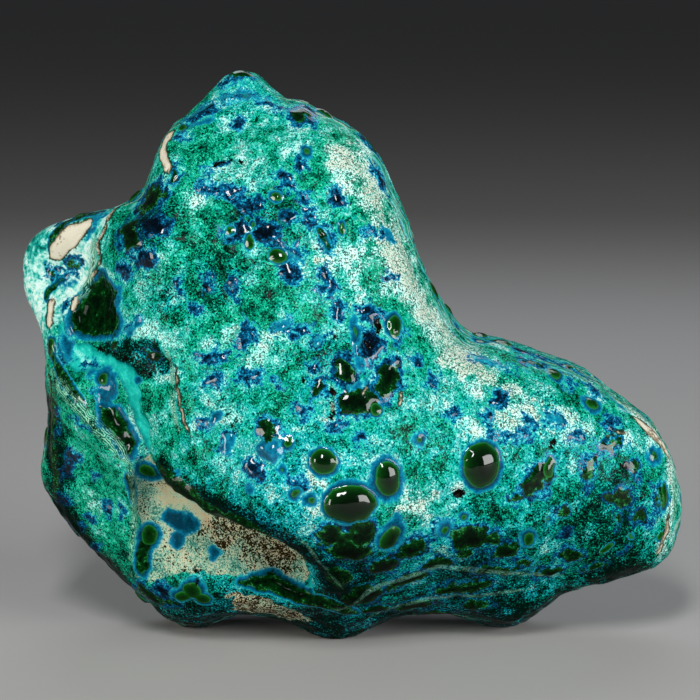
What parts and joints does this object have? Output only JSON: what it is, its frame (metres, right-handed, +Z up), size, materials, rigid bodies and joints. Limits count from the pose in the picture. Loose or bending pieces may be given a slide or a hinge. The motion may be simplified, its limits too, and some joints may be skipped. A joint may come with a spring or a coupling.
{
  "type": "polished stone freeform",
  "caption": "Polished freeform of chrysocolla with malachite and azurite, a display stone with a folded side and a long lobe that stands on its own worn flats.",
  "frame": {"origin": "bottom centre of the bounding box, on the surface that the stone stands on", "axes": "+Z up, +X along the widest side towards the long lobe, and the broad front faces -Y"},
  "size_m": [0.1502, 0.0864, 0.1276],
  "materials": {
    "chrysocolla": "high polish"
  },
  "bodies": {
    "root": {"stone": "chrysocolla"}
  },
  "joints": []
}
